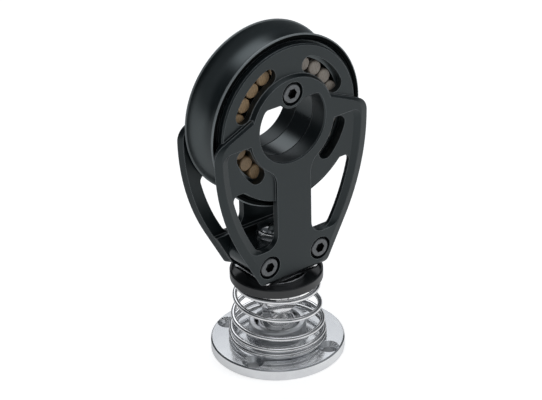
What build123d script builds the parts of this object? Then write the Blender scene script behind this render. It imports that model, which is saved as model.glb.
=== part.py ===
from build123d import *
import os
from math import acos, atan2, cos, degrees, hypot, pi, radians, sin, tan

# A stand-up sailing block. A big grooved sheave runs on rollers between two skeleton cheeks,
# and the cheeks stand on a swivel, a two-pin toggle and a conical spring above a deck flange.
# Lengths are in millimetres. The deck is z = 0, the sheave turns about Y and +Z is up.

# Running clearances, the usual broken edge, and how far a cut runs past the face it opens
PIN_FIT = 0.05
SEAT_FIT = 0.02
FACE_GAP = 0.1
SIDE_GAP = 0.3
EDGE = 0.3
PAST = 1.0

# Deck flange
FLANGE_R = 28.9
FLANGE_H = 5.1
FLANGE_CHAMFER = 0.6
BOLT_PCD = 48.0
BOLT_HOLE_R = 2.6
SINK_R = 4.6
BOLT_COUNT = 4
BOLT_PHASE = 27.0
DRUM_TOP_Z = 13.0
DRUM_WALL = 2.65
DRUM_ROOT_R = 1.2
DRUM_CHAMFER = 0.5
CAVITY_FLOOR_Z = 2.9

# Two-pin toggle
LOWER_PIN_Z = 8.0
PIN_SPACING = 19.0
PIN_R = 2.5
LOWER_PIN_SUNK = 1.1
BALL_TOGGLE_R = 9.3
SOCKET_GAP = 0.35
TOGGLE_HUB_R = 3.9
TOGGLE_HUB_HALF = 7.5
TONGUE_HALF = 3.1
TONGUE_R = 6.2
TONGUE_HALF_WIDTH = 5.8
EAR_R = 9.2
EAR_THICK = 2.8
EAR_CHAMFER = 0.8
CROTCH_GAP = 0.6

# Feet of the cheeks, and the head block between them
FOOT_RISE = 14.5
FOOT_SCREW_X = 13.2
FOOT_SCREW_RISE = 7.9
HEAD_END_R = 5.5
HEAD_BOSS_R = 10.5
HEAD_FLANGE_X = 29.0
HEAD_FLANGE_Y = 24.0
HEAD_FLANGE_H = 2.0
HEAD_FLANGE_CORNER = 3.0

# Swivel: post, bush, washer and cap nut
POST_R = 5.5
THREAD_R = 4.0
BUSH_WALL = 1.45
BUSH_FLANGE_R = 10.5
BUSH_FLANGE_H = 1.0
WASHER_H = 1.0
NUT_AF = 15.0
NUT_H = 5.4
NUT_HEX_H = 2.4
NUT_CHAMFER = 0.6
NUT_DOME_R = 8.6
NUT_ROOF = 1.7
COLLAR_R = 13.2
COLLAR_H = 1.7
NECK_R = 11.0

# Conical spring and its cup. The shares say how far up, and how far in, each turn has come
WIRE_R = 1.05
SPRING_FOOT_R = 20.1
SPRING_TOP_R = 17.5
SPRING_START = 340.0
SPRING_TURNS = 5.3
SPRING_STEPS = 12
SPRING_RISE = (0, 0.08, 0.225, 0.496, 0.838, 1, 1)
SPRING_TAPER = (0, 0.04, 0.23, 0.65, 0.92, 1, 1)
CUP_R = 19.9
CUP_WALL = 0.9
CUP_WEB_H = 1.0
CUP_RIM_DROP = 1.0
CUP_RIM_RISE = 2.0

# Sheave
SHEAVE_R = 37.5
SWALLOW_H = 12.8
GROOVE_DEPTH = 7.3
GROOVE_WALL = 2.77
LIP_Y = 9.5
LIP_FLAT = 0.5

# Roller bearing
ROLLER_D = 6.35
ROLLER_FIT = 0.04
ROLLER_SPACE = 0.5
ROLLER_PHASE = 50.0
ROLLER_EDGE = 0.4

# Side-load ball rows
BALL_D = 2.4
BALL_FIT = 0.08
BALL_COUNT = 18
BALL_ROW_INSET = 2.5
CAGE_WIDTH = 3.4
CAGE_THICK = 0.8

# Cheek levels, measured outwards from the middle plane of the sheave
SPIGOT_END = 5.4
HALF_GAP = 8.6
ARM_BACK = 10.6
DISC_FACE = 11.4
HOLLOW_FACE = 12.4
BEVEL_FROM = 12.8
RIB_FACE = 13.6

# Cheek outline
DISC_INSET = 3.7
DISC_CHAMFER = 0.6
RING_INSET = 0.5
RING_DRAFT = 0.9
ARM_OVERHANG = 1.55
ARM_WIDEST_DROP = 5.7
ARM_SWEEP_R = 97.0
ARM_WIDTH = 6.8
ARM_CREST = 3.7
ARM_BEVEL = 3.4
ARM_UNDERCUT = 1.5
FOOT_OVERHANG = 4.2
FOOT_CORNER_R = 3.0
SHOULDER_DROP = 1.0
SHOULDER_SLOPE = 24.0
SHOULDER_R = 7.0
SHOULDER_BEVEL = 1.2
LEG_HALF = 8.7
LEG_FLARE_R = 9.0
WEB_RISE = 10.3
WEB_R = 2.5
POCKET_FOOT_RISE = 2.6
POCKET_FOOT_R = 6.0
POCKET_CORNER_R = 6.0
POCKET_TOP_DROP = 3.4
POCKET_TOP_R = 4.0

# Arc windows in the disc: angle of the middle and half the arc between the end centres
UPPER_WINDOW = (45.0, 21.0)
LOWER_WINDOW = (-32.0, 13.8)
WINDOW_INSET = 4.8
WINDOW_PAST_RACE = 0.6

# Hollow hub
SPIGOT_WALL = 2.1
HUB_WALL = 2.4
SEAM = 0.25
BORE_FLAT_DROP = 6.4
BORE_CORNER_R = 2.5
BORE_CHAMFER = 0.5
BOSS_R = 6.6
BOSS_ROOT_R = 1.2
TOP_SCREW_DROP = 2.7

# Cheek screws, low cap heads with a hexagon socket
SCREW_R = 2.5
SCREW_HEAD_R = 4.25
SCREW_HEAD_H = 3.2
SCREW_CHAMFER = 0.4
SOCKET_AF = 4.0
SOCKET_DEPTH = 2.0
HEAD_SUNK = 0.2
COUNTERBORE_R = 5.2

# Heights that follow, from the toggle up to the axle
UPPER_PIN_Z = LOWER_PIN_Z + PIN_SPACING
CHEEK_FOOT_Z = UPPER_PIN_Z + FOOT_RISE
FOOT_SCREW_Z = CHEEK_FOOT_Z + FOOT_SCREW_RISE
EAR_FACE = TONGUE_HALF + FACE_GAP + EAR_THICK
DRUM_R = BALL_TOGGLE_R + SOCKET_GAP + DRUM_WALL
HEAD_FLANGE_FOOT = CHEEK_FOOT_Z - HEAD_FLANGE_H
HEAD_TOP = FOOT_SCREW_Z + HEAD_END_R
COLLAR_TOP = HEAD_FLANGE_FOOT - BUSH_FLANGE_H - FACE_GAP
COLLAR_FOOT = COLLAR_TOP - COLLAR_H
CUP_WEB_Z = COLLAR_FOOT - CUP_WEB_H
NUT_SEAT_Z = HEAD_TOP + 2 * PIN_FIT + WASHER_H
NUT_TOP_Z = NUT_SEAT_Z + NUT_H
AXLE_Z = NUT_TOP_Z + SWALLOW_H + SHEAVE_R
AXLE = (0, AXLE_Z)
POCKET_FOOT_Z = HEAD_TOP + POCKET_FOOT_RISE
POCKET_TOP_Z = AXLE_Z - POCKET_TOP_DROP
ARM_WIDEST_Z = AXLE_Z - ARM_WIDEST_DROP
SHOULDER_Z = AXLE_Z - SHOULDER_DROP

# Radii that follow, from the groove in to the bore
GROOVE_FLOOR_R = SHEAVE_R - GROOVE_DEPTH
OUTER_RACE_R = GROOVE_FLOOR_R - GROOVE_WALL
PITCH_R = OUTER_RACE_R - ROLLER_FIT - ROLLER_D / 2
RACE_R = PITCH_R - ROLLER_D / 2 - ROLLER_FIT
ROLLER_COUNT = int(2 * pi * PITCH_R / (ROLLER_D + ROLLER_SPACE))
SHEAVE_SIDE = HALF_GAP - SIDE_GAP
WASHER_R = HALF_GAP - SIDE_GAP
DISC_R = SHEAVE_R - DISC_INSET
WEB_Z = AXLE_Z - DISC_R + WEB_RISE
BALL_ROW_R = DISC_R - BALL_ROW_INSET
BALL_Y = (HALF_GAP + SHEAVE_SIDE) / 2
WINDOW_OUTER_R = DISC_R - WINDOW_INSET
WINDOW_INNER_R = RACE_R + WINDOW_PAST_RACE
RING_R = RACE_R - RING_INSET
SPIGOT_R = RACE_R - HUB_WALL
BORE_R = SPIGOT_R - SPIGOT_WALL
BORE_FLAT = BORE_R - BORE_FLAT_DROP
TOP_SCREW_RISE = BORE_R - TOP_SCREW_DROP
TOP_SCREW_Z = AXLE_Z + TOP_SCREW_RISE

# Widths that follow, and the centre of the right arm's outer sweep
ARM_HALF_WIDTH = SHEAVE_R + ARM_OVERHANG
FOOT_HALF = FOOT_SCREW_X + FOOT_OVERHANG
SWEEP_CENTRE = (ARM_HALF_WIDTH - ARM_SWEEP_R, ARM_WIDEST_Z)


def turned(points):
    """Solid of revolution about Z from (radius, height) points."""
    return revolve(Plane.XZ * make_face(Polyline(*points, close=True)), Axis.Z)


def tube(outer, inner, low, high):
    """Ring about Z between two heights."""
    return turned([(inner, low), (outer, low), (outer, high), (inner, high)])


def rod(radius, low, high, x=0.0, y=0.0):
    """Cylinder parallel to Z between two heights."""
    return Pos(x, y, (low + high) / 2) * Cylinder(radius, high - low)


def slab(sketch, low, high):
    """Prism of a flat sketch between two heights."""
    return extrude(Plane.XY.offset(low) * sketch, high - low)


def between(low_sketch, low, high_sketch, high):
    """Solid with straight sides from one flat sketch up to another."""
    return loft([Plane.XY.offset(low) * low_sketch, Plane.XY.offset(high) * high_sketch], ruled=True)


def around_axle(shape):
    """Moves a shape made about the origin to the sheave's centre in the cheek's own frame."""
    return Pos(0, AXLE_Z, 0) * shape


def near_side(shape):
    """Stands a shape up, so that its height becomes the distance towards the near side."""
    return Plane.XZ * shape


def far_side(shape):
    return mirror(near_side(shape), Plane.XZ)


# Cheeks, drawn flat: x across, y up the cheek and height outwards from the sheave

def sweep_turn():
    """Where an arm's arc ends and its straight line down to the foot's corner begins."""
    across = FOOT_HALF - SWEEP_CENTRE[0]
    down = CHEEK_FOOT_Z - SWEEP_CENTRE[1]
    return atan2(down, across) + acos(ARM_SWEEP_R / hypot(across, down))


def frame_outline(side, top, foot):
    """Outline of the raised frame, set in by side round the arms, by top at the shoulders and by
    foot below."""
    turn = sweep_turn()
    half = ARM_HALF_WIDTH - side
    low = CHEEK_FOOT_Z + foot
    slope = tan(radians(SHOULDER_SLOPE))
    peak = SHOULDER_Z + ARM_HALF_WIDTH * slope - top / cos(radians(SHOULDER_SLOPE))
    arc_r = ARM_SWEEP_R - side
    end_x, end_z = SWEEP_CENTRE[0] + arc_r * cos(turn), SWEEP_CENTRE[1] + arc_r * sin(turn)
    corner_x = end_x + (end_z - low) * tan(turn)
    edge = FilletPolyline((0, low), (corner_x, low), (end_x, end_z), radius=FOOT_CORNER_R)
    edge += CenterArc(SWEEP_CENTRE, arc_r, degrees(turn), -degrees(turn))
    edge += FilletPolyline(
        (half, ARM_WIDEST_Z), (half, peak - half * slope), (0, peak), radius=SHOULDER_R
    )
    return make_face(edge + mirror(edge, Plane.YZ))


def pocket_field(top, arm_width, inner_r):
    """Field beside the leg, between one arm and a circle about the axle."""
    tall = top - POCKET_FOOT_Z
    field = Pos(LEG_HALF + SHEAVE_R / 2, POCKET_FOOT_Z + tall / 2) * Rectangle(SHEAVE_R, tall)
    field &= Pos(SWEEP_CENTRE) * Circle(ARM_SWEEP_R - arm_width)
    field -= Pos(AXLE) * Circle(inner_r)
    foot = field.vertices().group_by(Axis.Y)[0].sort_by(Axis.X)
    field = fillet(foot[0], POCKET_FOOT_R)
    foot = field.vertices().group_by(Axis.Y)[0].sort_by(Axis.X)
    return fillet(foot[-1], POCKET_CORNER_R)


def opening():
    """Way through the cheek, under the disc and the web that joins the disc to the arm."""
    field = pocket_field(WEB_Z, ARM_WIDTH, DISC_R)
    return fillet(field.vertices().group_by(Axis.Y)[-1], WEB_R)


def hollow(arm_width):
    """Hollow in the frame's face between the leg, the ring, the shoulder and one arm."""
    field = pocket_field(POCKET_TOP_Z, arm_width, RING_R + RING_DRAFT)
    top = field.vertices().group_by(Axis.Y)[-1].sort_by(Axis.X)
    field = fillet(top[-1], POCKET_TOP_R)
    inner = field.vertices().group_by(Axis.X)[0].sort_by(Axis.Y)
    return fillet(inner[-1], LEG_FLARE_R)


def window(middle, half_arc):
    """Arc slot with round ends."""
    middle_r = (WINDOW_INNER_R + WINDOW_OUTER_R) / 2
    arc = CenterArc((0, 0), middle_r, middle - half_arc, 2 * half_arc)
    return Pos(AXLE) * SlotArc(arc, WINDOW_OUTER_R - WINDOW_INNER_R)


def bore():
    """Open middle of the hub, with a flat above it and the top screw's boss below the flat."""
    shape = Circle(BORE_R)
    shape -= Pos(0, BORE_FLAT + BORE_R / 2) * Rectangle(2 * BORE_R, BORE_R)
    shape = fillet(shape.vertices(), BORE_CORNER_R)
    shape -= Pos(0, TOP_SCREW_RISE) * Circle(BOSS_R)
    corners = shape.vertices().group_by(Axis.Y)[-1].sort_by(lambda v: abs(v.X))[:2]
    return Pos(AXLE) * fillet(corners, BOSS_ROOT_R)


def screw_places():
    return [(0, TOP_SCREW_Z), (-FOOT_SCREW_X, FOOT_SCREW_Z), (FOOT_SCREW_X, FOOT_SCREW_Z)]


def cheek_body():
    """One cheek without its screw holes."""
    back = frame_outline(ARM_UNDERCUT, 0, 0)
    frame = between(back, ARM_BACK, frame_outline(0, 0, 0), BEVEL_FROM)
    face = frame_outline(ARM_BEVEL, SHOULDER_BEVEL, SHOULDER_BEVEL)
    frame += between(frame_outline(0, 0, 0), BEVEL_FROM, face, RIB_FACE)
    pocket = slab(opening(), ARM_BACK - PAST, HOLLOW_FACE + EDGE)
    pocket += between(hollow(ARM_WIDTH), HOLLOW_FACE, hollow(ARM_CREST), RIB_FACE)
    frame -= pocket
    frame -= mirror(pocket, Plane.YZ)
    foot_field = Pos(0, POCKET_FOOT_Z - SHEAVE_R / 2) * Rectangle(2 * SHEAVE_R, SHEAVE_R)
    frame += slab(back & foot_field, HALF_GAP, ARM_BACK)
    disc = rod(DISC_R, HALF_GAP, DISC_FACE)
    disc = chamfer(disc.edges().group_by(Axis.Z)[-1], DISC_CHAMFER)
    ring = turned(
        [(0, DISC_FACE), (RING_R + RING_DRAFT, DISC_FACE), (RING_R, RIB_FACE), (0, RIB_FACE)]
    )
    disc += ring + rod(SPIGOT_R, SPIGOT_END, HALF_GAP)
    disc -= tube(BALL_ROW_R + CAGE_WIDTH / 2 + FACE_GAP, BALL_ROW_R - CAGE_WIDTH / 2 - FACE_GAP,
                 HALF_GAP - PAST, BALL_Y + CAGE_THICK / 2 + FACE_GAP)
    disc -= ball_groove()
    cheek = frame + around_axle(disc)
    for middle, half_arc in (UPPER_WINDOW, LOWER_WINDOW):
        cheek -= slab(window(middle, half_arc), HALF_GAP - PAST, RIB_FACE + PAST)
        cheek -= slab(window(180 - middle, half_arc), HALF_GAP - PAST, RIB_FACE + PAST)
    cheek -= slab(bore(), 0, RIB_FACE + PAST)
    rim = [e for e in cheek.edges().filter_by(lambda e: abs(e.center().Z - RIB_FACE) < 0.01)
           if hypot(e.center().X, e.center().Y - AXLE_Z) < BORE_R + PAST]
    return chamfer(rim, BORE_CHAMFER)


def cheek(through_holes):
    """Near cheek with counterbored screw holes, or far cheek with the threaded ones."""
    body = cheek_body()
    for x, z in screw_places():
        if through_holes:
            body -= rod(SCREW_R + FACE_GAP, 0, RIB_FACE, x, z)
            seat = RIB_FACE - HEAD_SUNK - SCREW_HEAD_H
            body -= rod(COUNTERBORE_R, seat, RIB_FACE + PAST, x, z)
        else:
            body -= rod(SCREW_R + SEAT_FIT, 0, RIB_FACE + PAST, x, z)
    return body


def ball_groove():
    """Race cut by one ball row, about the origin."""
    ring = Pos(BALL_ROW_R, BALL_Y) * Circle(BALL_D / 2 + BALL_FIT)
    return revolve(Plane.XZ * ring, Axis.Z)


def hub():
    """Hollow hub between the cheeks. Its outside is the rollers' inner race."""
    tall = HALF_GAP - SPIGOT_END + SEAM
    body = around_axle(rod(RACE_R, -HALF_GAP, HALF_GAP))
    for low in (-HALF_GAP - PAST, HALF_GAP - tall):
        body -= around_axle(rod(SPIGOT_R + SEAT_FIT, low, low + tall + PAST))
    body -= slab(bore(), -RIB_FACE, RIB_FACE)
    return body - rod(SCREW_R + FACE_GAP, -RIB_FACE, RIB_FACE, 0, TOP_SCREW_Z)


def screw():
    """Low-head screw pointing down, its head's top face at the origin."""
    end = 2 * RIB_FACE - HEAD_SUNK
    body = turned([
        (0, -end), (SCREW_R - EDGE, -end), (SCREW_R, EDGE - end), (SCREW_R, -SCREW_HEAD_H),
        (SCREW_HEAD_R, -SCREW_HEAD_H), (SCREW_HEAD_R, -SCREW_CHAMFER),
        (SCREW_HEAD_R - SCREW_CHAMFER, 0), (0, 0),
    ])
    socket = RegularPolygon(SOCKET_AF / 2, 6, major_radius=False)
    return body - slab(socket, -SOCKET_DEPTH, PAST)


def cheek_screws():
    return [Pos(x, z, RIB_FACE - HEAD_SUNK) * screw() for x, z in screw_places()]


# Sheave and its bearings, drawn about the cheek's frame as well

def sheave():
    """Grooved wheel: round groove, thin lips, side pockets that take the discs, plain bore."""
    groove_edge = LIP_Y - EDGE - LIP_FLAT
    side_edge = DISC_R + 2 * SIDE_GAP
    outside = ThreePointArc((SHEAVE_R, -groove_edge), (GROOVE_FLOOR_R, 0), (SHEAVE_R, groove_edge))
    lip = [
        (SHEAVE_R, groove_edge), (SHEAVE_R, groove_edge + LIP_FLAT),
        (SHEAVE_R - EDGE, LIP_Y), (side_edge + LIP_Y - SHEAVE_SIDE, LIP_Y),
        (side_edge, SHEAVE_SIDE), (OUTER_RACE_R, SHEAVE_SIDE),
    ]
    under = [(r, -y) for r, y in reversed(lip)]
    wheel = revolve(Plane.XZ * make_face(outside + Polyline(*lip, *under)), Axis.Z)
    recess = tube(BALL_ROW_R + CAGE_WIDTH / 2 + FACE_GAP, BALL_ROW_R - CAGE_WIDTH / 2 - FACE_GAP,
                  BALL_Y - CAGE_THICK / 2 - FACE_GAP, LIP_Y)
    cut = recess + ball_groove()
    wheel -= cut
    wheel -= mirror(cut, Plane.XY)
    return around_axle(wheel)


def rollers():
    """Full row of plastic rollers between the hub and the sheave."""
    long = 2 * SHEAVE_SIDE
    one = rod(ROLLER_D / 2, -long / 2, long / 2)
    one = chamfer(one.edges().filter_by(GeomType.CIRCLE), ROLLER_EDGE)
    return [
        around_axle(Rot(0, 0, ROLLER_PHASE + i * 360 / ROLLER_COUNT) * Pos(PITCH_R, 0, 0) * one)
        for i in range(ROLLER_COUNT)
    ]


def side_balls():
    return [
        around_axle(Rot(0, 0, i * 360 / BALL_COUNT) * Pos(BALL_ROW_R, 0, BALL_Y) * Sphere(BALL_D / 2))
        for i in range(BALL_COUNT)
    ]


def ball_cage():
    """Flat plastic ring that keeps the balls of one side apart."""
    ring = tube(BALL_ROW_R + CAGE_WIDTH / 2, BALL_ROW_R - CAGE_WIDTH / 2,
                BALL_Y - CAGE_THICK / 2, BALL_Y + CAGE_THICK / 2)
    for i in range(BALL_COUNT):
        turn = radians(i * 360 / BALL_COUNT)
        ring -= rod(BALL_D / 2 + BALL_FIT, 0, LIP_Y, BALL_ROW_R * cos(turn), BALL_ROW_R * sin(turn))
    return around_axle(ring)


# Head and swivel

def head_block():
    """Stainless head: rounded ends round the foot screws, boss for the post, flange below."""
    bar = SlotCenterToCenter(2 * FOOT_SCREW_X, 2 * HEAD_END_R)
    body = extrude(Pos(0, 0, FOOT_SCREW_Z) * (Plane.XZ * bar), HALF_GAP, both=True)
    boss = rod(HEAD_BOSS_R, HEAD_FLANGE_FOOT, HEAD_TOP)
    body += boss & Pos(0, 0, FOOT_SCREW_Z) * Box(4 * HEAD_BOSS_R, 2 * HALF_GAP, 4 * HEAD_BOSS_R)
    flange = RectangleRounded(HEAD_FLANGE_X, HEAD_FLANGE_Y, HEAD_FLANGE_CORNER)
    body += slab(flange, HEAD_FLANGE_FOOT, CHEEK_FOOT_Z)
    body -= rod(POST_R + PIN_FIT + BUSH_WALL, 0, AXLE_Z)
    for side in (-1, 1):
        hole = Rot(90, 0, 0) * Cylinder(SCREW_R + FACE_GAP, 4 * HALF_GAP)
        body -= Pos(side * FOOT_SCREW_X, 0, FOOT_SCREW_Z) * hole
    return body


def swivel_bush():
    """Flanged plastic bush between the post and the head."""
    inner = POST_R + PIN_FIT
    outer = inner + BUSH_WALL - SEAT_FIT
    foot = HEAD_FLANGE_FOOT - BUSH_FLANGE_H
    return turned([
        (inner, foot), (BUSH_FLANGE_R, foot), (BUSH_FLANGE_R, HEAD_FLANGE_FOOT),
        (outer, HEAD_FLANGE_FOOT), (outer, HEAD_TOP), (inner, HEAD_TOP),
    ])


def swivel_washer():
    low = HEAD_TOP + PIN_FIT
    return tube(WASHER_R, POST_R + PIN_FIT, low, low + WASHER_H)


def swivel_nut():
    """Polished cap nut that keeps the head on the post."""
    shoulder = NUT_SEAT_Z + NUT_HEX_H
    hexagon = RegularPolygon(NUT_AF / 2, 6, major_radius=False)
    body = slab(hexagon, NUT_SEAT_Z, shoulder) & turned([
        (0, NUT_SEAT_Z), (WASHER_R, NUT_SEAT_Z), (WASHER_R, shoulder - NUT_CHAMFER),
        (NUT_AF / 2, shoulder), (0, shoulder),
    ])
    dome = rod(NUT_AF / 2 - NUT_CHAMFER, NUT_SEAT_Z, NUT_TOP_Z)
    body += dome & Pos(0, 0, NUT_TOP_Z - NUT_DOME_R) * Sphere(NUT_DOME_R)
    return body - rod(THREAD_R + SEAT_FIT, NUT_SEAT_Z - PAST, NUT_TOP_Z - NUT_ROOF)


def swivel_fork():
    """Forged fork: two round ears, neck and collar for the spring cup, post for the swivel."""
    ears = Circle(EAR_R) + Pos(0, (COLLAR_FOOT - UPPER_PIN_Z) / 2) * Rectangle(
        2 * EAR_R, COLLAR_FOOT - UPPER_PIN_Z)
    body = extrude(Pos(0, 0, UPPER_PIN_Z) * (Plane.XZ * ears), EAR_FACE, both=True)
    body = chamfer([e for e in body.edges() if abs(abs(e.center().Y) - EAR_FACE) < 0.01
                    and e.center().Z < COLLAR_FOOT - EDGE], EAR_CHAMFER)
    body &= rod(NECK_R, 0, COLLAR_FOOT)
    crotch = UPPER_PIN_Z + TONGUE_R + CROTCH_GAP
    gap = 2 * (TONGUE_HALF + FACE_GAP)
    body -= Pos(0, 0, crotch / 2) * Box(4 * EAR_R, gap, crotch)
    body += rod(NECK_R, CUP_WEB_Z - EDGE, COLLAR_FOOT)
    body += rod(COLLAR_R, COLLAR_FOOT, COLLAR_TOP)
    body += rod(POST_R, COLLAR_TOP, NUT_SEAT_Z - PIN_FIT)
    body += rod(THREAD_R, NUT_SEAT_Z - PIN_FIT, NUT_TOP_Z - NUT_ROOF - SIDE_GAP)
    return body - Pos(0, 0, UPPER_PIN_Z) * Rot(90, 0, 0) * Cylinder(PIN_R + SEAT_FIT, 4 * EAR_FACE)


def pin(half_length):
    """Round pin along Z with chamfered ends, about the origin."""
    body = rod(PIN_R, -half_length, half_length)
    return chamfer(body.edges().filter_by(GeomType.CIRCLE), EDGE)


def upper_pin():
    return Pos(0, 0, UPPER_PIN_Z) * Rot(90, 0, 0) * pin(EAR_FACE - PIN_FIT)


def lower_pin():
    return Pos(0, 0, LOWER_PIN_Z) * Rot(0, 90, 0) * pin(DRUM_R - LOWER_PIN_SUNK)


def ball_toggle():
    """Half ball in the deck drum with a flat tongue that stands up into the fork."""
    wide = 2 * BALL_TOGGLE_R
    ball = Sphere(BALL_TOGGLE_R) & Pos(0, 0, wide / 2) * Box(wide, wide, wide)
    lower_hub = Rot(0, 90, 0) * Cylinder(TOGGLE_HUB_R, 2 * TOGGLE_HUB_HALF)
    ball = Pos(0, 0, LOWER_PIN_Z) * (ball + lower_hub)
    tall = UPPER_PIN_Z - LOWER_PIN_Z
    tongue = Circle(TONGUE_R) + Pos(0, -tall / 2) * Rectangle(2 * TONGUE_HALF_WIDTH, tall)
    body = ball + extrude(Pos(0, 0, UPPER_PIN_Z) * (Plane.XZ * tongue), TONGUE_HALF, both=True)
    hole = Cylinder(PIN_R + PIN_FIT, 4 * BALL_TOGGLE_R)
    body -= Pos(0, 0, LOWER_PIN_Z) * Rot(0, 90, 0) * hole
    return body - Pos(0, 0, UPPER_PIN_Z) * Rot(90, 0, 0) * hole


# Deck flange, spring and cup

def base_flange():
    """Turned flange with four countersunk holes and a drum that holds the toggle's ball."""
    cavity_r = BALL_TOGGLE_R + SOCKET_GAP
    body = turned([
        (0, 0), (FLANGE_R - EDGE, 0), (FLANGE_R, EDGE), (FLANGE_R, FLANGE_H - FLANGE_CHAMFER),
        (FLANGE_R - FLANGE_CHAMFER, FLANGE_H), (DRUM_R + DRUM_ROOT_R, FLANGE_H),
        (DRUM_R, FLANGE_H + DRUM_ROOT_R), (DRUM_R, DRUM_TOP_Z - DRUM_CHAMFER),
        (DRUM_R - DRUM_CHAMFER, DRUM_TOP_Z), (cavity_r + DRUM_CHAMFER, DRUM_TOP_Z),
        (cavity_r, DRUM_TOP_Z - DRUM_CHAMFER), (cavity_r, CAVITY_FLOOR_Z), (0, CAVITY_FLOOR_Z),
    ])
    sink = turned([
        (0, -PAST), (BOLT_HOLE_R, -PAST), (BOLT_HOLE_R, FLANGE_H - SINK_R + BOLT_HOLE_R),
        (SINK_R, FLANGE_H), (SINK_R, FLANGE_H + PAST), (0, FLANGE_H + PAST),
    ])
    for i in range(BOLT_COUNT):
        body -= Rot(0, 0, BOLT_PHASE + i * 360 / BOLT_COUNT) * Pos(BOLT_PCD / 2, 0, 0) * sink
    hole = Rot(0, 90, 0) * Cylinder(PIN_R + SEAT_FIT, 4 * DRUM_R)
    return body - Pos(0, 0, LOWER_PIN_Z) * hole


def spring_point(turns):
    """Centre of the wire after so many turns up from its foot. The first and last coils lie flat."""
    foot = FLANGE_H + WIRE_R + PIN_FIT
    top = CUP_WEB_Z - WIRE_R - PIN_FIT
    up = min(along(SPRING_RISE, turns), 1)
    r = SPRING_FOOT_R - (SPRING_FOOT_R - SPRING_TOP_R) * along(SPRING_TAPER, turns)
    turn = radians(SPRING_START - 360 * turns)
    return r * cos(turn), r * sin(turn), foot + (top - foot) * up


def along(shares, turns):
    """Smooth curve through the shares, one per turn."""
    start = min(int(turns), len(shares) - 2)
    part = turns - start
    before = shares[max(start - 1, 0)]
    a, b = shares[start], shares[start + 1]
    after = shares[min(start + 2, len(shares) - 1)]
    rise_a, rise_b = (b - before) / 2, (after - a) / 2
    return (a + rise_a * part + (3 * (b - a) - 2 * rise_a - rise_b) * part**2
            + (2 * (a - b) + rise_a + rise_b) * part**3)


def spring():
    """Left-handed conical wire spring."""
    steps = round(SPRING_STEPS * SPRING_TURNS)
    path = Spline(*[spring_point(SPRING_TURNS * i / steps) for i in range(steps + 1)])
    section = Plane(origin=path @ 0, z_dir=path % 0) * Circle(WIRE_R)
    return sweep(section, path)


def spring_cup():
    """Black plastic dish under the collar that the spring pushes up."""
    inner = CUP_R - CUP_WALL
    hole = NECK_R + FACE_GAP
    guide = SPRING_TOP_R - WIRE_R - SIDE_GAP
    web_top = CUP_WEB_Z + CUP_WEB_H
    foot = CUP_WEB_Z - CUP_RIM_DROP
    rim = web_top + CUP_RIM_RISE
    return turned([
        (hole, CUP_WEB_Z), (guide - CUP_WALL, CUP_WEB_Z), (guide - CUP_WALL, foot), (guide, foot),
        (guide, CUP_WEB_Z), (inner, CUP_WEB_Z), (inner, foot), (CUP_R - EDGE, foot),
        (CUP_R, foot + EDGE), (CUP_R, rim - EDGE), (CUP_R - EDGE, rim), (inner, rim),
        (inner, web_top), (hole, web_top),
    ])


PARTS = {
    "base_flange": lambda: base_flange(),
    "lower_pin": lambda: lower_pin(),
    "ball_toggle": lambda: ball_toggle(),
    "upper_pin": lambda: upper_pin(),
    "swivel_fork": lambda: swivel_fork(),
    "spring": lambda: spring(),
    "spring_cup": lambda: spring_cup(),
    "swivel_bush": lambda: swivel_bush(),
    "head_block": lambda: head_block(),
    "swivel_washer": lambda: swivel_washer(),
    "swivel_nut": lambda: swivel_nut(),
    "cheek_near": lambda: near_side(cheek(True)),
    "cheek_far": lambda: far_side(cheek(False)),
    "hub": lambda: near_side(hub()),
    "cheek_screws": lambda: Compound([near_side(s) for s in cheek_screws()]),
    "sheave": lambda: near_side(sheave()),
    "rollers": lambda: Compound([near_side(r) for r in rollers()]),
    "side_balls_near": lambda: Compound([near_side(b) for b in side_balls()]),
    "side_balls_far": lambda: Compound([far_side(b) for b in side_balls()]),
    "ball_cage_near": lambda: near_side(ball_cage()),
    "ball_cage_far": lambda: far_side(ball_cage()),
}

os.makedirs("parts", exist_ok=True)
for name, make in PARTS.items():
    export_step(make(), f"parts/{name}.step")
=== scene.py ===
from math import cos, pi, radians, sin

import bpy
from mathutils import Matrix, Vector


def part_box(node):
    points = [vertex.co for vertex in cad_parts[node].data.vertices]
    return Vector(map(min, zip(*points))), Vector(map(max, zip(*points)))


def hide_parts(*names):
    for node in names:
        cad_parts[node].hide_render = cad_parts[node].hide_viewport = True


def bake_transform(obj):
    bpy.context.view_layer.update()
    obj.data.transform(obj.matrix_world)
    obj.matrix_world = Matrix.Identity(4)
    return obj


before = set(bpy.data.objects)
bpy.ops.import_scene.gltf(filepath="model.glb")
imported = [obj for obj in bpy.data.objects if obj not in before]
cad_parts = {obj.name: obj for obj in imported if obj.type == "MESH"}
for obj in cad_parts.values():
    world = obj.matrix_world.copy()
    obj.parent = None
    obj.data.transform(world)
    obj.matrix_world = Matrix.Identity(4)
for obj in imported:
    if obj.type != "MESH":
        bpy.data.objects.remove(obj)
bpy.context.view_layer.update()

# A sailing block that stands on deck: a black anodised sheave between skeleton cheeks, on a
# polished steel swivel and toggle that a conical spring holds up over a round bolted flange.
# Lengths are in metres. The deck is z = 0, the sheave turns about Y and the near cheek faces -Y.


# The camera. The place it looks from, its turn and its lens were fitted to the photograph by
# the ellipses of the sheave, the hub's bore and the deck flange.
camera_azimuth = radians(-36.547)
camera_elevation = radians(28.927)
camera_roll = radians(-1.324)
camera_eye = Vector((-0.478931, -0.643470, 0.514483))
camera_lens = 145.94
sensor_width = 36
near_clip = 0.01
far_clip = 20

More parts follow.
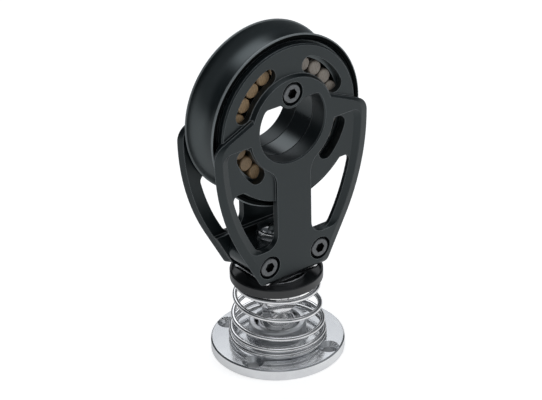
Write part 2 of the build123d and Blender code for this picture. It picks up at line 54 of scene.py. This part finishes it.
back = Vector((
    sin(camera_azimuth) * cos(camera_elevation),
    -cos(camera_azimuth) * cos(camera_elevation),
    sin(camera_elevation),
))
level = Vector((cos(camera_azimuth), sin(camera_azimuth), 0))
upright = back.cross(level)
right = cos(camera_roll) * level + sin(camera_roll) * upright
up = cos(camera_roll) * upright - sin(camera_roll) * level
camera = bpy.data.objects.new("camera", bpy.data.cameras.new("camera"))
camera.data.lens = camera_lens
camera.data.sensor_width = sensor_width
camera.data.clip_start = near_clip
camera.data.clip_end = far_clip
camera.matrix_world = Matrix.Translation(camera_eye) @ Matrix((right, up, back)).transposed().to_4x4()
bpy.context.scene.collection.objects.link(camera)
bpy.context.scene.camera = camera
bpy.context.scene.view_settings.view_transform = "Standard"


# The studio is a dim room, a little lighter in front, with one broad softbox overhead, which shifts
# to the right and widens as it reaches down at the back. A pair of numbers, here and in the pieces
# below, is where a soft edge starts and where it ends.
room_back = (0.05, 0.055, 0.06)
room_front = (0.20, 0.21, 0.22)
room_turn = (-0.35, 0.25)
softbox_white = (1.58, 1.62, 1.68)
softbox_x = 0.12
softbox_side = (0.22, 0.62)
softbox_rise = (0.40, 0.70)
softbox_front = (-0.6, 0.0)
softbox_back = (0.2, 0.7)
back_shift = 0.25
back_widening = 0.15


class Flow:
    """One socket of a shader. Sums, differences and products of Flows add Math nodes."""

    def __init__(self, tree, socket=None):
        self.tree = tree
        self.socket = socket

    def node(self, kind, inputs=None, out=0, **settings):
        """Adds a node of this kind: its settings first, then the values or links of its sockets."""
        made = self.tree.nodes.new(kind)
        for name, value in settings.items():
            setattr(made, name, value)
        for name, value in (inputs or {}).items():
            if isinstance(value, Flow):
                self.tree.links.new(value.socket, made.inputs[name])
            else:
                made.inputs[name].default_value = value
        return None if out is None else Flow(self.tree, made.outputs[out])

    def math(self, operation, *values):
        return self.node("ShaderNodeMath", dict(enumerate(values)), operation=operation)

    def __add__(self, other):
        return self.math("ADD", self, other)

    def __radd__(self, other):
        return self.math("ADD", other, self)

    def __sub__(self, other):
        return self.math("SUBTRACT", self, other)

    def __rsub__(self, other):
        return self.math("SUBTRACT", other, self)

    def __mul__(self, other):
        return self.math("MULTIPLY", self, other)

    def __rmul__(self, other):
        return self.math("MULTIPLY", other, self)

    def __abs__(self):
        return self.math("ABSOLUTE", self)

    def step(self, low, high):
        """Rises smoothly from 0 at low to 1 at high."""
        return self.node("ShaderNodeMapRange", {"Value": self, "From Min": low, "From Max": high},
                         interpolation_type="SMOOTHSTEP")

    def mix(self, low, high):
        """The colour low where this is 0, and high where it is 1."""
        low, high = (c if isinstance(c, Flow) else (*c, 1) for c in (low, high))
        return self.node("ShaderNodeMix", {"Factor": self, "A": low, "B": high}, out="Result",
                         data_type="RGBA")


def coordinate(place, axis):
    """One coordinate of a place or a direction."""
    return place.node("ShaderNodeSeparateXYZ", {"Vector": place}, out=axis)


world = bpy.data.worlds.new("sky")
bpy.context.scene.world = world
world.use_nodes = True
world.node_tree.nodes.clear()
sky = Flow(world.node_tree)
direction = sky.node("ShaderNodeTexCoord", out="Generated")
x = coordinate(direction, "X")
y = coordinate(direction, "Y")
z = coordinate(direction, "Z")
at_back = y.step(*softbox_back)
aside = abs(x - softbox_x - back_shift * at_back) - back_widening * at_back
softbox = (1 - aside.step(*softbox_side)) * z.step(*softbox_rise) * y.step(*softbox_front)
room = y.step(*room_turn).mix(room_front, room_back)
sky_light = sky.node("ShaderNodeBackground", {"Color": softbox.mix(room, softbox_white)})
sky.node("ShaderNodeOutputWorld", {"Surface": sky_light}, out=None)


# Two soft lamps in front, at the left and the right, fill the shadows. Gloss doesn't see them,
# so they leave no square glints on the steel and the black faces.
block_middle = Vector((0, 0, 0.08))


def fill_lamp(name, place, side, power):
    """Square soft lamp that faces the middle of the block."""
    data = bpy.data.lights.new(name, "AREA")
    data.shape = "SQUARE"
    data.size = side
    data.energy = power
    made = bpy.data.objects.new(name, data)
    bpy.context.scene.collection.objects.link(made)
    made.location = place
    made.rotation_mode = "QUATERNION"
    made.rotation_quaternion = (block_middle - made.location).to_track_quat("-Z", "Y")
    made.visible_glossy = False


fill_lamp("left_lamp", place=(-0.9, -0.45, 0.75), side=0.6, power=3.5)
fill_lamp("right_lamp", place=(0.7, -0.8, 0.5), side=0.5, power=3.0)


# The floor is white paper that runs out of the picture. It glows for the camera and less for gloss,
# which loses more of the glow far off and behind the block. Under the flange it doesn't glow, so
# that no light comes up through the screw holes.
floor_reach = 6.0
floor_white = (0.55, 0.55, 0.55, 1)
floor_glow = 0.68
gloss_share = 0.78
far_loss = 0.75
far_off = (0.30, 1.10)
behind_loss = 0.85
behind_block = (-0.08, 0.08)
flange_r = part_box("base_flange")[1][0]
flange_rim = (0.9 * flange_r, flange_r)


def studio_sheet(name, centre, across, along):
    """Flat sheet from its centre and its two half sides."""
    centre, across, along = Vector(centre), Vector(across), Vector(along)
    mesh = bpy.data.meshes.new(name)
    corners = [centre + i * across + j * along for i, j in ((-1, -1), (1, -1), (1, 1), (-1, 1))]
    mesh.from_pydata(corners, [], [(0, 1, 2, 3)])
    made = bpy.data.objects.new(name, mesh)
    bpy.context.scene.collection.objects.link(made)
    return made


def started(name):
    """An empty material and the Flow that fills it."""
    material = bpy.data.materials.new(name)
    material.use_nodes = True
    material.node_tree.nodes.clear()
    return material, Flow(material.node_tree)


def place_on(flow):
    """The place on a piece, in the piece's own coordinates."""
    return flow.node("ShaderNodeTexCoord", out="Object")


def from_axis(a, b):
    """Distance from an axis, out of the two coordinates across it."""
    return a.math("SQRT", a * a + b * b)


floor = studio_sheet("floor", centre=(0, 0, 0), across=(floor_reach, 0, 0), along=(0, floor_reach, 0))
white_floor, paper = started("white_floor")
seen = paper.node("ShaderNodeLightPath", out="Is Camera Ray")
mirrored = paper.node("ShaderNodeLightPath", out="Is Glossy Ray")
through = paper.node("ShaderNodeLightPath", out="Is Transmission Ray")
place = place_on(paper)
x = coordinate(place, "X")
y = coordinate(place, "Y")
from_block = from_axis(x, y)
near = 1 - far_loss * from_block.step(*far_off)
in_front = 1 - behind_loss * y.step(*behind_block)
glossy = paper.node("ShaderNodeClamp", {"Value": mirrored + through})
gloss = glossy * near * in_front * gloss_share
glow = paper.node("ShaderNodeEmission",
                  {"Strength": (seen + gloss) * from_block.step(*flange_rim) * floor_glow})
matte = paper.node("ShaderNodeBsdfDiffuse", {"Color": floor_white})
lit_paper = paper.node("ShaderNodeAddShader", {0: matte, 1: glow})
paper.node("ShaderNodeOutputMaterial", {"Surface": lit_paper}, out=None)
floor.data.materials.append(white_floor)


# Two black cards stand out of the picture, at the left and in front. Only gloss sees them, which
# gives the polished steel the dark lines of a product photograph.
card_black = (0.01, 0.01, 0.01, 1)
black_card, flow = started("black_card")
dead_matte = flow.node("ShaderNodeBsdfDiffuse", {"Color": card_black})
flow.node("ShaderNodeOutputMaterial", {"Surface": dead_matte}, out=None)
left_card = studio_sheet("left_card", centre=(-0.55, 0.25, 0.10),
                         across=(0, 0.10, 0), along=(0, 0, 0.10))
front_card = studio_sheet("front_card", centre=(-0.05, -0.62, 0.16),
                          across=(0.06, 0, 0), along=(0, 0, 0.16))
for sheet in (left_card, front_card):
    sheet.data.materials.append(black_card)
    sheet.visible_camera = False
    sheet.visible_shadow = False
    sheet.visible_diffuse = False


# The deck flange is turned from stainless bar and mirror-polished, with four countersunk holes
# and a drum in its middle that holds the toggle. Its faces keep the faint rings of the lathe, and
# the drum is left duller than the flange.
flange_dark = (0.80, 0.81, 0.83)
flange_light = (0.88, 0.89, 0.90)
flange_roughness = 0.13
flange_haze = 0.04
flange_rings = 0.04
drum_dulling = 0.12
drum_foot = (0.0055, 0.0070)
rings_per_metre = 2500
patch_edge = (0.3, 0.7)


def noise(place, scale, detail):
    """Cloudy noise all through the piece; the scale is in clouds per metre."""
    return place.node("ShaderNodeTexNoise", {"Vector": place, "Scale": scale, "Detail": detail},
                      out="Fac")


def lines(across, detail):
    """Lines that a tool leaves, as noise along the one measure across them."""
    return across.node("ShaderNodeTexNoise", {"W": across, "Scale": 1.0, "Detail": detail},
                       out="Fac", noise_dimensions="1D")


def patchy(cloud, dark, light):
    """Two shades of one finish, in soft patches."""
    return cloud.step(*patch_edge).mix(dark, light)


def rounded(flow, radius):
    """Normal that rolls over the edges, as a broken edge does."""
    return flow.node("ShaderNodeBevel", {"Radius": radius}, out="Normal", samples=6)


def bumped(height, strength, distance, normal):
    """Normal that follows small heights on the face, over the rounded normal."""
    return height.node("ShaderNodeBump", {"Height": height, "Strength": strength,
                                          "Distance": distance, "Normal": normal}, out="Normal")


def finish(flow, sockets):
    """Closes a material with its surface shader; the sockets hold values or Flows."""
    surface = flow.node("ShaderNodeBsdfPrincipled", sockets)
    flow.node("ShaderNodeOutputMaterial", {"Surface": surface}, out=None)


def dress(node, material):
    """Gives a construction piece its finish."""
    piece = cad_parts[node]
    for holder in piece.material_slots:
        holder.material = material


turned_steel, flow = started("turned_steel")
place = place_on(flow)
x = coordinate(place, "X")
y = coordinate(place, "Y")
z = coordinate(place, "Z")
rings = lines((from_axis(x, y) + z) * rings_per_metre, detail=2)
haze = noise(place, scale=90, detail=4)
drum = z.step(*drum_foot)
finish(flow, {
    "Base Color": patchy(haze, flange_dark, flange_light),
    "Metallic": 1.0,
    "Roughness": flange_roughness + flange_haze * haze + flange_rings * rings + drum_dulling * drum,
    "Normal": bumped(rings, strength=0.03, distance=0.0001, normal=rounded(flow, radius=0.0002)),
})
dress("base_flange", turned_steel)


# The toggle is a half ball with a flat tongue, forged in stainless and tumbled bright. It turns on
# two pins of ground bar, the lower one pressed into the drum and the upper one into the fork.
forged_dark = (0.82, 0.82, 0.83)
forged_light = (0.90, 0.90, 0.90)
forged_roughness = 0.05
forged_haze = 0.06
ground_grey = (0.70, 0.70, 0.71, 1)
ground_roughness = 0.14
ground_scratches = 0.08

forged_steel, flow = started("forged_steel")
place = place_on(flow)
haze = noise(place, scale=120, detail=4)
wave = noise(place, scale=260, detail=1)
finish(flow, {
    "Base Color": patchy(haze, forged_dark, forged_light),
    "Metallic": 1.0,
    "Roughness": forged_roughness + forged_haze * haze,
    "Normal": bumped(wave, strength=0.02, distance=0.0003, normal=rounded(flow, radius=0.0007)),
})
dress("ball_toggle", forged_steel)

ground_steel, flow = started("ground_steel")
scratch = noise(place_on(flow), scale=3000, detail=2)
finish(flow, {
    "Base Color": ground_grey,
    "Metallic": 1.0,
    "Roughness": ground_roughness + ground_scratches * scratch,
    "Normal": bumped(scratch, strength=0.05, distance=0.0001, normal=rounded(flow, radius=0.0002)),
})
dress("lower_pin", ground_steel)
dress("upper_pin", ground_steel)


# The spring is coiled from bright stainless wire, narrower at the top, with its end coils flat.
# It is made in two halves, split at a given height. Each half is a tube of rings swept up the coil.
wire_r = 0.00105
coil_foot_r = 0.0201
coil_top_r = 0.0175
coil_start = radians(340)
coil_turns = 5.3
rise_shares = (0, 0.08, 0.225, 0.496, 0.838, 1, 1)
taper_shares = (0, 0.04, 0.23, 0.65, 0.92, 1, 1)
rings_per_turn = 60
ring_sides = 16
end_round = 0.3
crease = radians(60)
halfway_z = 0.0205
spring_low, spring_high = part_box("spring")
coil_foot_z = spring_low[2] + wire_r
coil_top_z = spring_high[2] - wire_r
wire_dark = (0.78, 0.78, 0.79)
wire_light = (0.88, 0.88, 0.88)
wire_roughness = 0.10
wire_draw_lines = 0.08


def share_at(shares, turns):
    """Smooth curve through the shares, one per turn."""
    start = min(int(turns), len(shares) - 2)
    part = turns - start
    before, a, b = shares[max(start - 1, 0)], shares[start], shares[start + 1]
    after = shares[min(start + 2, len(shares) - 1)]
    rise_a, rise_b = (b - before) / 2, (after - a) / 2
    return (a + rise_a * part + (3 * (b - a) - 2 * rise_a - rise_b) * part**2
            + (2 * (a - b) + rise_a + rise_b) * part**3)


def coil_point(turns):
    """Point of the wire's centre line after so many turns up from its foot."""
    r = coil_foot_r - (coil_foot_r - coil_top_r) * share_at(taper_shares, turns)
    turn = coil_start - 2 * pi * turns
    up_share = min(share_at(rise_shares, turns), 1)
    return Vector((r * cos(turn), r * sin(turn), coil_foot_z + (coil_top_z - coil_foot_z) * up_share))


def wire_ring(turns, share):
    """Ring of points round the wire's centre line, at a share of the wire's radius."""
    nudge = 0.25 / rings_per_turn
    centre = coil_point(turns)
    ahead = coil_point(min(turns + nudge, coil_turns)) - coil_point(max(turns - nudge, 0))
    side = Vector((centre.x, centre.y, 0)).normalized()
    lift = side.cross(ahead.normalized()).normalized()
    side = ahead.normalized().cross(lift)
    turn = 2 * pi / ring_sides
    return [centre + share * wire_r * (cos(i * turn) * side + sin(i * turn) * lift)
            for i in range(ring_sides)]


def wire_piece(name, first, last):
    """Closed tube up the coil between two turn counts, its ends rounded where the wire ends."""
    count = round((last - first) * rings_per_turn)
    stations = [(first + (last - first) * i / count, 1) for i in range(count + 1)]
    blunt = end_round * wire_r / (2 * pi * coil_top_r)
    if first == 0:
        stations = [(0, 1 - end_round), (blunt, 1)] + stations[1:]
    if last == coil_turns:
        stations = stations[:-1] + [(last - blunt, 1), (last, 1 - end_round)]
    points = [p for turns, share in stations for p in wire_ring(turns, share)]
    quads = []
    for i in range(len(stations) - 1):
        for j in range(ring_sides):
            k = (j + 1) % ring_sides
            low, high = i * ring_sides, (i + 1) * ring_sides
            quads.append((low + j, low + k, high + k, high + j))
    top = len(points) - ring_sides
    ends = [tuple(reversed(range(ring_sides))), tuple(range(top, top + ring_sides))]
    mesh = bpy.data.meshes.new(name)
    mesh.from_pydata(points, [], quads + ends)
    mesh.shade_smooth()
    mesh.set_sharp_from_angle(angle=crease)
    made = bpy.data.objects.new(name, mesh)
    bpy.context.scene.collection.objects.link(made)
    return made


spring_wire, flow = started("spring_wire")
place = place_on(flow)
draw_lines = noise(place, scale=1800, detail=3)
haze = noise(place, scale=150, detail=3)
finish(flow, {
    "Base Color": patchy(haze, wire_dark, wire_light),
    "Metallic": 1.0,
    "Roughness": wire_roughness + wire_draw_lines * draw_lines,
    "Normal": bumped(draw_lines, strength=0.06, distance=0.00005,
                     normal=rounded(flow, radius=0.0001)),
})
halfway_turns = next(i / rings_per_turn for i in range(round(coil_turns * rings_per_turn))
                     if coil_point(i / rings_per_turn).z > halfway_z)
spring_lower = wire_piece("spring_lower", 0, halfway_turns)
spring_upper = wire_piece("spring_upper", halfway_turns, coil_turns)
for half in (spring_lower, spring_upper):
    half.data.materials.append(spring_wire)
    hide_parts("spring")
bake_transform(spring_lower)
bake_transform(spring_upper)


# The cup is a moulded dish of black plastic under the fork's collar. The spring pushes up on its
# web and two short walls below keep the top coil in its place. Its edges are grey, partly rubbed
# and partly a painted highlight.
plastic_dark = (0.003, 0.004, 0.005)
plastic_light = (0.006, 0.007, 0.008)
plastic_rub_and_highlight = (0.03, 0.032, 0.034)
plastic_roughness = 0.26
plastic_smears = 0.14
plastic_ior = 1.6
edge_turn = (0.008, 0.08)


def edge_mask(edge):
    """1 on the sharp edges of a piece and 0 on its faces, from its rounded normal. It places the pale
    edges, which are partly wear and partly painted highlight.
    """
    face = edge.node("ShaderNodeNewGeometry", out="Normal")
    facing = edge.node("ShaderNodeVectorMath", {0: edge, 1: face}, out="Value",
                       operation="DOT_PRODUCT")
    return (1 - facing).step(*edge_turn)


black_plastic, flow = started("black_plastic")
place = place_on(flow)
mould_grain = flow.node("ShaderNodeTexVoronoi", {"Vector": place, "Scale": 2600}, out="Distance")
smear = noise(place, scale=110, detail=4)
edge = rounded(flow, radius=0.00025)
finish(flow, {
    "Base Color": edge_mask(edge).mix(patchy(smear, plastic_dark, plastic_light), plastic_rub_and_highlight),
    "Roughness": plastic_roughness + plastic_smears * smear,
    "IOR": plastic_ior,
    "Normal": bumped(mould_grain, strength=0.18, distance=0.00008, normal=edge),
})
dress("spring_cup", black_plastic)


# The fork, with its two ears, neck, collar and post, is one stainless forging. A washer and a cap
# nut on the post keep the head on it, and all three are polished.
dress("swivel_fork", forged_steel)
dress("swivel_washer", ground_steel)
dress("swivel_nut", forged_steel)


# The head is the block between the feet of the cheeks, black like them, and the flange below it
# is faced bright. It turns on the post by a flanged bush of black plastic.
anodised_dark = (0.0030, 0.0048, 0.0058)
anodised_light = (0.0055, 0.0080, 0.0092)
anodised_wear_and_highlight = (0.15, 0.162, 0.168)
anodised_tint = (0.87, 0.98, 1.0, 1)
faced_bright = (0.78, 0.78, 0.79)
head_roughness = 0.20
head_cloud = 0.08
facing_polish = 0.10
head_ior = 1.8
cheek_foot_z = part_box("cheek_near")[0][2]
facing_depth = 0.0001

head_black, flow = started("head_black")
place = place_on(flow)
z = coordinate(place, "Z")
cloud = noise(place, scale=120, detail=3)
faced = 1 - z.step(cheek_foot_z, cheek_foot_z + facing_depth)
finish(flow, {
    "Base Color": faced.mix(patchy(cloud, anodised_dark, anodised_light), faced_bright),
    "Metallic": faced,
    "Roughness": head_roughness + head_cloud * cloud - facing_polish * faced,
    "IOR": head_ior,
    "Specular Tint": anodised_tint,
    "Normal": rounded(flow, radius=0.0008),
})
dress("head_block", head_black)
dress("swivel_bush", black_plastic)


# The sheave is turned from aluminium bar and black anodised, so fine rings run round its groove.
# The crests of its lips carry a pale painted highlight, and the sides of the lips are painted black
# as shade.
sheave_low, sheave_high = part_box("sheave")
axle_z = (sheave_low[2] + sheave_high[2]) / 2
lip_r = sheave_high[0]
lip_y = sheave_high[1]
crest = 0.0007
crest_band = (lip_r - crest, lip_r - 0.5 * crest)
lip_shade_depth = (lip_y - 0.0004, lip_y - 0.0002)
crest_painted_highlight = (0.16, 0.175, 0.18)
lip_side_painted_shade = (0.001, 0.001, 0.001)
sheave_roughness = 0.24
sheave_cloud = 0.06
sheave_rings = 0.06
sheave_ior = 1.75

turned_black, flow = started("turned_black")
place = place_on(flow)
x = coordinate(place, "X")
y = coordinate(place, "Y")
z = coordinate(place, "Z")
radius = from_axis(x, z - axle_z)
rings = lines((radius + y) * rings_per_metre, detail=3)
cloud = noise(place, scale=55, detail=3)
edge = rounded(flow, radius=0.0003)
# Painted highlight on the lip crests, and black painted shade on the sides of the lips.
painted_crest_highlight = radius.step(*crest_band)
painted_lip_shade = abs(y).step(*lip_shade_depth) * (1 - painted_crest_highlight)
# Pale edges: partly thin film, partly painted highlight.
anodised = edge_mask(edge).mix(patchy(cloud, anodised_dark, anodised_light), anodised_wear_and_highlight)
finish(flow, {
    "Base Color": painted_lip_shade.mix(painted_crest_highlight.mix(anodised, crest_painted_highlight), lip_side_painted_shade),
    "Metallic": painted_lip_shade,
    "Roughness": sheave_roughness + sheave_cloud * cloud + sheave_rings * rings,
    "IOR": sheave_ior,
    "Specular Tint": anodised_tint,
    "Normal": bumped(rings, strength=0.06, distance=0.0001, normal=edge),
})
dress("sheave", turned_black)


# The rollers are a full row of bearing plastic, sawn from rod, so their ends carry saw lines.
# Those left of the hub are of a tan batch and those right of it of a greyer one.
roller_tan = (0.50, 0.345, 0.19)
roller_grey = (0.39, 0.36, 0.32)
roller_streak = (0.17, 0.115, 0.075)
grey_from_x = (-0.002, 0.004)
batch_wander = 0.02
saw_slant = 0.25
saw_lines_per_metre = 3200
saw_streaks = 0.5
saw_band = (0.4, 0.6)
fleck_streaks = 0.3
fleck_band = (0.45, 0.7)
roller_roughness = 0.42
roller_flecks = 0.12

bearing_tan, flow = started("bearing_tan")
place = place_on(flow)
x = coordinate(place, "X")
z = coordinate(place, "Z")
saw = lines((x + saw_slant * z) * saw_lines_per_metre, detail=2)
fleck = noise(place, scale=2200, detail=2)
wander = batch_wander * (noise(place, scale=40, detail=1) - 0.5)
batch = (x + wander).step(*grey_from_x)
streaks = saw_streaks * saw.step(*saw_band) + fleck_streaks * fleck.step(*fleck_band)
finish(flow, {
    "Base Color": streaks.mix(batch.mix(roller_tan, roller_grey), roller_streak),
    "Roughness": roller_roughness + roller_flecks * fleck,
    "Normal": bumped(saw, strength=0.10, distance=0.00008, normal=rounded(flow, radius=0.0002)),
})
dress("rollers", bearing_tan)


# The side balls take the side load, one row in each side of the sheave. They are moulded in white
# plastic and run in black plastic cages.
ball_dark = (0.70, 0.68, 0.62)
ball_light = (0.80, 0.79, 0.75)
ball_roughness = 0.30
ball_milk = 0.10

ball_white, flow = started("ball_white")
milk = noise(place_on(flow), scale=400, detail=3)
finish(flow, {
    "Base Color": milk.mix(ball_dark, ball_light),
    "Roughness": ball_roughness + ball_milk * milk,
})
dress("side_balls_near", ball_white)
dress("side_balls_far", ball_white)
dress("ball_cage_near", black_plastic)
dress("ball_cage_far", black_plastic)


# The cheeks are milled from aluminium plate and black anodised after a fine bead blast, so their
# faces are satin. Their crests are pale, partly where the film is thin and partly painted highlight.
cheek_roughness = 0.32
cheek_cloud = 0.08
cheek_ior = 1.5

milled_black, flow = started("milled_black")
place = place_on(flow)
blast_grain = noise(place, scale=3600, detail=2)
cloud = noise(place, scale=45, detail=3)
edge = rounded(flow, radius=0.0005)
finish(flow, {
    "Base Color": edge_mask(edge).mix(patchy(cloud, anodised_dark, anodised_light), anodised_wear_and_highlight),
    "Roughness": cheek_roughness + cheek_cloud * cloud,
    "IOR": cheek_ior,
    "Specular Tint": anodised_tint,
    "Normal": bumped(blast_grain, strength=0.12, distance=0.00005, normal=edge),
})
dress("cheek_near", milled_black)
dress("cheek_far", milled_black)


# The hub is a turned aluminium tube between the cheeks, on spigots, and its bore is burnished
# bright before the black anodising, since a lashing runs through it.
hub_dark = (0.002, 0.003, 0.004)
hub_light = (0.004, 0.006, 0.007)
hub_roughness = 0.14
hub_cloud = 0.05
hub_rings = 0.05
hub_ior = 1.7

burnished_black, flow = started("burnished_black")
place = place_on(flow)
y = coordinate(place, "Y")
rings = lines(y * rings_per_metre, detail=3)
cloud = noise(place, scale=70, detail=3)
finish(flow, {
    "Base Color": patchy(cloud, hub_dark, hub_light),
    "Roughness": hub_roughness + hub_cloud * cloud + hub_rings * rings,
    "IOR": hub_ior,
    "Specular Tint": anodised_tint,
    "Normal": bumped(rings, strength=0.05, distance=0.0001, normal=rounded(flow, radius=0.0003)),
})
dress("hub", burnished_black)


# Three cap screws hold the cheeks together, satin steel on the outside, with dark painted shade
# in the hexagon sockets and on the shafts.
screw_dark = (0.10, 0.105, 0.11)
screw_light = (0.16, 0.165, 0.17)
screw_painted_shade = (0.03, 0.03, 0.032)
screw_roughness = 0.30
screw_scratches = 0.12
head_face_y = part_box("cheek_screws")[0][1]
socket_depth = (0.00025, 0.0005)

satin_steel, flow = started("satin_steel")
place = place_on(flow)
y = coordinate(place, "Y")
# Painted shade deeper than the heads' faces, in the sockets and on the shafts.
painted_socket_shade = (y - head_face_y).step(*socket_depth)
scratch = noise(place, scale=1500, detail=3)
finish(flow, {
    "Base Color": painted_socket_shade.mix(patchy(scratch, screw_dark, screw_light), screw_painted_shade),
    "Metallic": 1.0,
    "Roughness": screw_roughness + screw_scratches * scratch,
    "Normal": bumped(scratch, strength=0.10, distance=0.00005, normal=rounded(flow, radius=0.0002)),
})
dress("cheek_screws", satin_steel)
